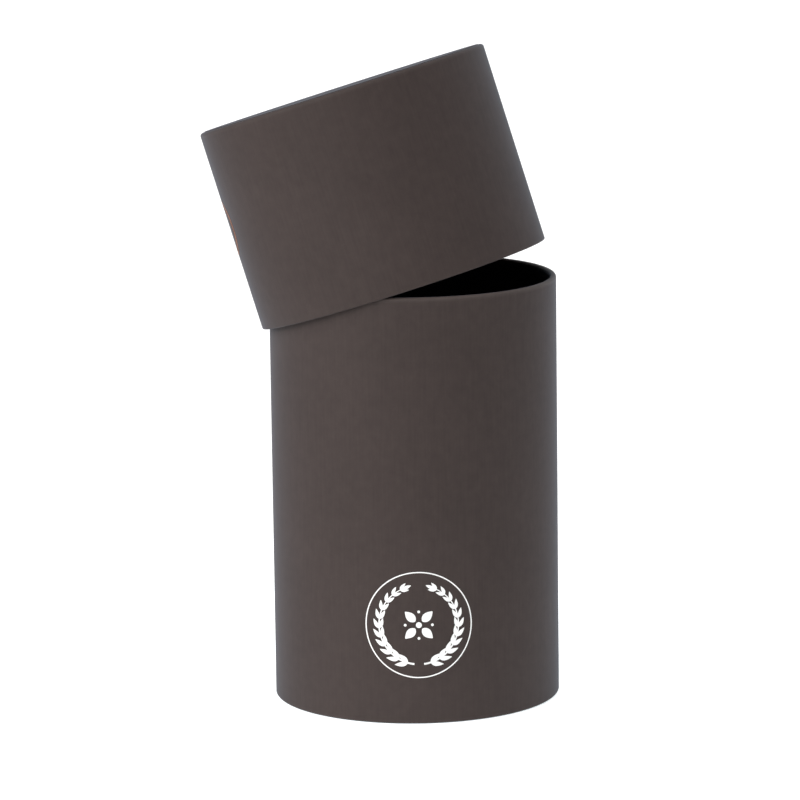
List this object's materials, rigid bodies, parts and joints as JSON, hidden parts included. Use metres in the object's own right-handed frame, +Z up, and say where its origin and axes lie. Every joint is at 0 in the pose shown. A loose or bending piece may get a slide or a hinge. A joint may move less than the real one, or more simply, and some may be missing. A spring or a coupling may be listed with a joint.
{
  "type": "gift tube box",
  "caption": "Round paper-wrapped board gift tube with a telescoping lid set down askew on its open mouth.",
  "frame": {"origin": "middle of the tube's foot, on the surface that it stands on", "axes": "+Z up along the tube to its mouth; the picture is seen from -Y, with +X to its right"},
  "size_m": [0.1107, 0.0986, 0.2056],
  "materials": {
    "wrap": "matt, soft-touch",
    "lining": "matt",
    "board": "raw greyboard",
    "ink": "matt printed ink",
    "foil": "satin stamped foil"
  },
  "bodies": {
    "tube": {"tube_core": "board", "tube_wrap": "wrap", "tube_lining": "lining", "base_board": "board", "base_cover": "wrap", "base_lining": "lining"},
    "lid": {"lid_core": "board", "lid_wrap": "wrap", "lid_lining": "lining", "lid_top_board": "board", "lid_top_cover": "wrap", "lid_top_lining": "lining"}
  },
  "joints": [
    {"name": "lid_lift", "type": "slide", "parent": "tube", "child": "lid", "axis": [0, 0, 1], "range_m": [0, 0.16]}
  ]
}
